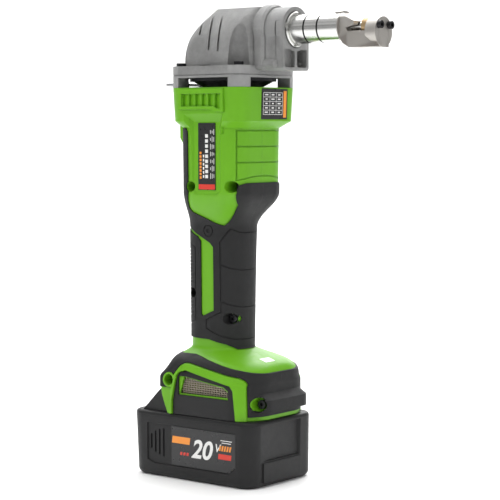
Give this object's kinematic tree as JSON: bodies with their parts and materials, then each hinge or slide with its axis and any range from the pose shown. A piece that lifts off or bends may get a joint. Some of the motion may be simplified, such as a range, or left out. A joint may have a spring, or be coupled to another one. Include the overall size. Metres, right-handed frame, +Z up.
{
  "type": "nibbler tool",
  "caption": "Cordless sheet-metal nibbler with an upright grip, slide-on battery pack, cast gear case and a swivelling punch and die head.",
  "frame": {"origin": "on the handle and motor axis, at the level of the battery pack's flat base", "axes": "+Z up the handle and motor axis, +X along the nose tube from the gear case to the die, +Y to the left side of the tool"},
  "size_m": [0.2019, 0.0762, 0.3409],
  "materials": {
    "green_shell": "satin moulded",
    "black_rubber": "fine matt grain",
    "black_plastic": "fine grain",
    "cast_grey": "sand textured casting",
    "polished_steel": "ground and polished",
    "tool_steel": "bead blasted",
    "machined_steel": "turned",
    "black_screw": "black oxide",
    "copper": "enamelled wire",
    "bronze": "oil bronze",
    "board_green": "solder mask",
    "cell_wrap": "shrink wrap",
    "white_nylon": "plain",
    "label_black": "printed film",
    "label_white": "printed film",
    "steel_mesh": "woven"
  },
  "bodies": {
    "body": {"right_housing": "green_shell", "left_housing": "green_shell", "right_grip": "black_rubber", "left_grip": "black_rubber", "right_bumper": "black_rubber", "left_bumper": "black_rubber", "gear_case": "cast_grey", "front_cap": "cast_grey", "bearing_plate": "black_screw", "gear_case_screws": "black_screw", "motor_bearings": "machined_steel", "crank_bearings": "machined_steel", "stator_core": "machined_steel", "stator_windings": "copper", "sensor_board": "board_green", "switch_module": "black_plastic", "control_board": "board_green", "terminal_block": "black_plastic", "terminal_blades": "copper", "motor_wires": "copper", "housing_screws": "black_screw", "rating_label": "label_black", "chart_label": "label_black", "foot_sticker": "label_white", "key_clips": "black_plastic", "foot_filters": "steel_mesh", "vent_panels": "black_plastic"},
    "rotor": {"rotor_core": "machined_steel", "rotor_magnets": "machined_steel", "rotor_shaft": "machined_steel", "fan": "white_nylon", "pinion": "machined_steel"},
    "crank": {"crankshaft": "machined_steel", "crank_gear": "machined_steel"},
    "rod": {"connecting_rod": "machined_steel"},
    "ram": {"plunger": "machined_steel", "wrist_pin": "machined_steel", "punch": "polished_steel"},
    "head": {"nose_tube": "polished_steel", "guide_bush": "bronze", "die_holder": "tool_steel", "die_insert": "bronze", "die_screws": "black_screw"},
    "clamp_ring": {"lock_ring": "polished_steel"},
    "switch": {"switch_button": "black_plastic", "switch_link": "black_plastic"},
    "battery": {"battery_tub": "black_plastic", "battery_lid": "black_plastic", "battery_cells": "cell_wrap", "cell_holder": "white_nylon", "cell_links": "polished_steel", "battery_board": "board_green", "battery_contacts": "copper", "battery_labels": "label_black", "battery_screws": "black_screw", "release_spring": "machined_steel"},
    "release": {"release_button": "black_plastic"},
    "key": {"hex_key": "machined_steel"}
  },
  "joints": [
    {"name": "crank_spin", "type": "hinge", "parent": "body", "child": "crank", "pos_m": [0.01725, 0, 0.3], "axis": [0, 0, 1], "continuous": true},
    {"name": "rotor_spin", "type": "hinge", "parent": "body", "child": "rotor", "pos_m": [0, 0, 0.25], "axis": [0, 0, 1], "continuous": true},
    {"name": "rod_turn", "type": "hinge", "parent": "crank", "child": "rod", "pos_m": [0.01725, 0.0018, 0.3226], "axis": [0, 0, 1], "continuous": true},
    {"name": "ram_slide", "type": "slide", "parent": "body", "child": "ram", "axis": [1, 0, 0], "range_m": [-0.0018, 0.0018]},
    {"name": "head_swivel", "type": "hinge", "parent": "body", "child": "head", "pos_m": [0.06, 0, 0.3226], "axis": [1, 0, 0], "continuous": true},
    {"name": "clamp_ring_turn", "type": "hinge", "parent": "body", "child": "clamp_ring", "pos_m": [0.054, 0, 0.3226], "axis": [1, 0, 0], "range_deg": [0, 60]},
    {"name": "switch_slide", "type": "slide", "parent": "body", "child": "switch", "axis": [0, 0, 1], "range_m": [0, 0.007]},
    {"name": "battery_slide", "type": "slide", "parent": "body", "child": "battery", "axis": [-1, 0, 0], "range_m": [0, 0.085]},
    {"name": "release_press", "type": "slide", "parent": "battery", "child": "release", "axis": [0.7071, 0, -0.7071], "range_m": [0, 0.0025], "deforming": ["release_spring"]},
    {"name": "key_pull", "type": "slide", "parent": "body", "child": "key", "axis": [0, -1, 0], "range_m": [0, 0.06]}
  ],
  "couplings": [
    {"joint": "crank_spin", "follows": "rotor_spin", "ratio": -0.35294},
    {"joint": "rod_turn", "follows": "rotor_spin", "ratio": 0.35294}
  ]
}
